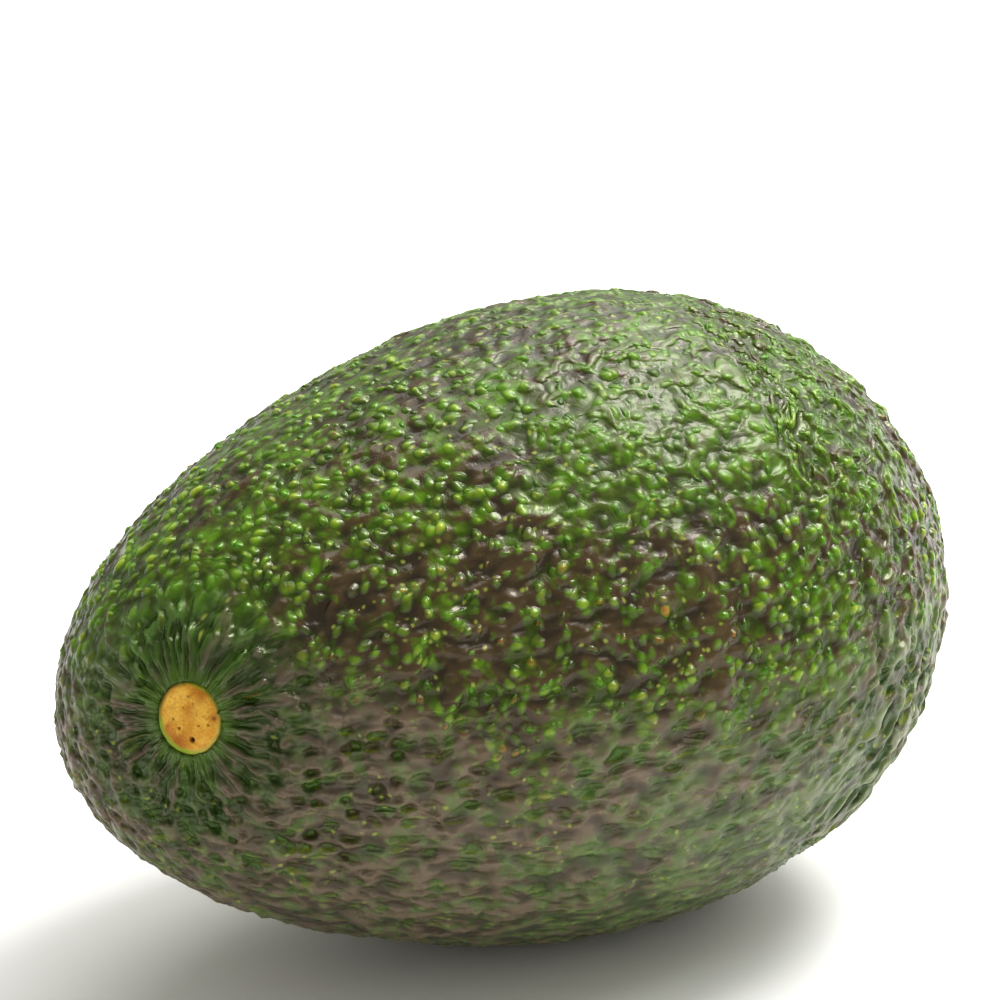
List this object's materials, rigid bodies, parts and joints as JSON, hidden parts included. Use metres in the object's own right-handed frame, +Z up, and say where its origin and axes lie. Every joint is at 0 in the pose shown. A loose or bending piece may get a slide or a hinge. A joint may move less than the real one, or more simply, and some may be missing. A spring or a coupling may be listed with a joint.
{
  "type": "avocado",
  "caption": "Whole pebbly-skinned avocado lying on its side, with the clipped stub of its stem set obliquely in the narrow end.",
  "frame": {"origin": "middle of the small flat spot on the fruit's side that it rests on", "axes": "+Z up, +X along the fruit towards the blunt blossom end, so -X is the narrow stem end"},
  "size_m": [0.1024, 0.0691, 0.0683],
  "materials": {
    "skin": "waxy satin, pebbled",
    "stem_stub": "dry, corky, matt"
  },
  "bodies": {
    "root": {"fruit": "skin", "stem_button": "stem_stub"}
  },
  "joints": []
}
